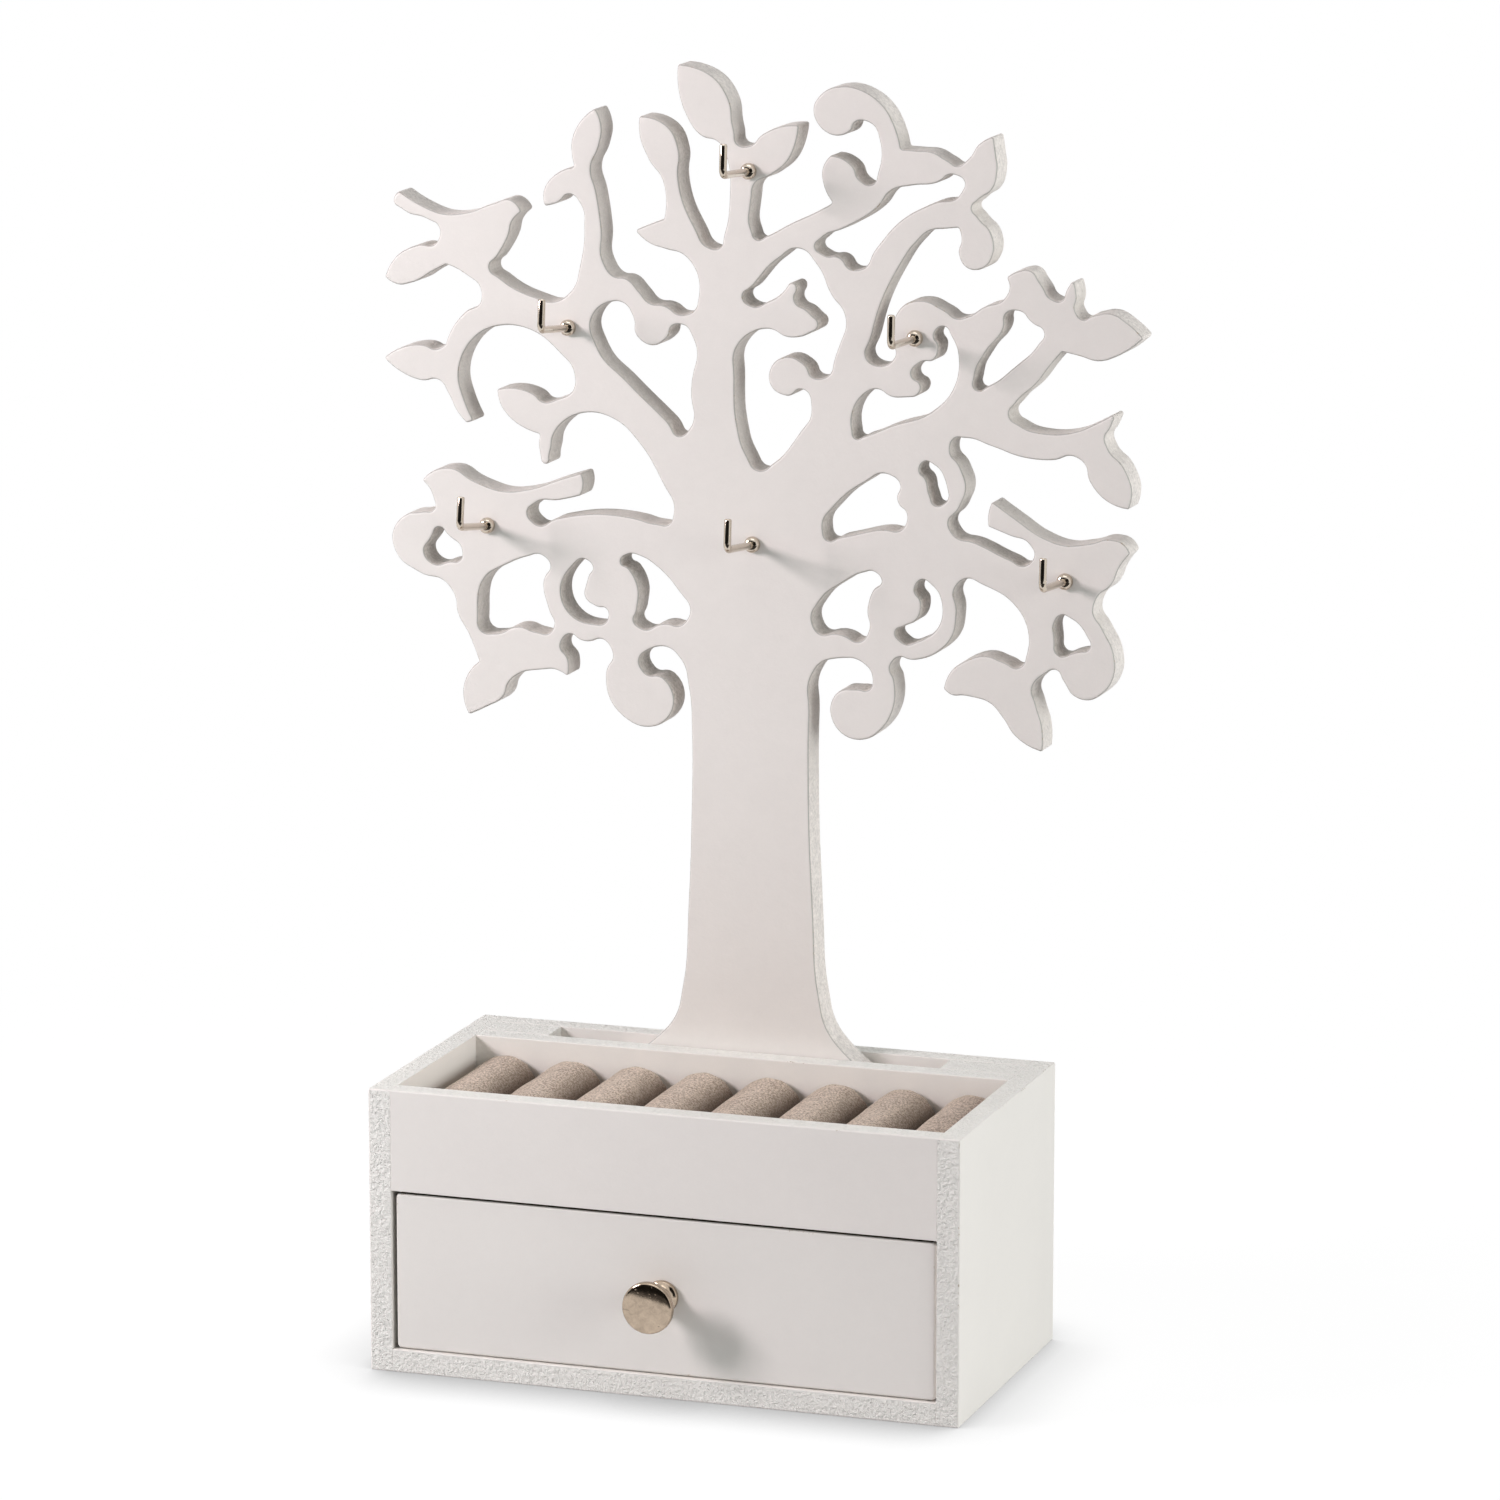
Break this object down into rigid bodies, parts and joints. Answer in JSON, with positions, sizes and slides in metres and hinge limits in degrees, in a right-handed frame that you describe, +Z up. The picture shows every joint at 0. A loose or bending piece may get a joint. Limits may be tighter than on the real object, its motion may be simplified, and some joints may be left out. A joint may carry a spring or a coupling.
{
  "type": "jewelry tree",
  "caption": "White fretwork tree with hooks for necklaces, standing in a slot of a box that has a tray of ring rolls and a pull-out drawer.",
  "frame": {"origin": "middle of the box's underside, on the surface that it stands on", "axes": "+Z up along the tree, +X to the right seen from the drawer, +Y to the back"},
  "size_m": [0.2707, 0.126, 0.4397],
  "materials": {
    "box_paint": "satin off-white paint on fibreboard",
    "drawer_paint": "satin off-white paint on fibreboard",
    "tree_paint": "satin off-white paint on fibreboard",
    "roll_suede": "taupe microsuede over foam",
    "liner_felt": "taupe felt",
    "nickel": "polished nickel plate",
    "screw_steel": "zinc plated"
  },
  "bodies": {
    "cabinet": {"left_side_panel": "box_paint", "right_side_panel": "box_paint", "bottom_panel": "box_paint", "back_panel": "box_paint", "front_fascia": "box_paint", "tray_floor": "box_paint", "tray_rear_wall": "box_paint", "left_slot_block": "box_paint", "right_slot_block": "box_paint", "ring_roll_1": "roll_suede", "ring_roll_2": "roll_suede", "ring_roll_3": "roll_suede", "ring_roll_4": "roll_suede", "ring_roll_5": "roll_suede", "ring_roll_6": "roll_suede", "ring_roll_7": "roll_suede", "ring_roll_8": "roll_suede"},
    "drawer": {"drawer_front": "drawer_paint", "drawer_left_side": "drawer_paint", "drawer_right_side": "drawer_paint", "drawer_back": "drawer_paint", "drawer_bottom": "drawer_paint", "drawer_liner": "liner_felt", "drawer_knob": "nickel", "knob_screw": "screw_steel"},
    "tree": {"tree_panel": "tree_paint", "hook_top": "nickel", "hook_left_upper": "nickel", "hook_right_upper": "nickel", "hook_left_lower": "nickel", "hook_center": "nickel", "hook_right_lower": "nickel"}
  },
  "joints": [
    {"name": "drawer_slide", "type": "slide", "parent": "cabinet", "child": "drawer", "axis": [0, -1, 0], "range_m": [0, 0.075]},
    {"name": "tree_lift", "type": "slide", "parent": "cabinet", "child": "tree", "axis": [0, 0, 1], "range_m": [0, 0.03]}
  ]
}
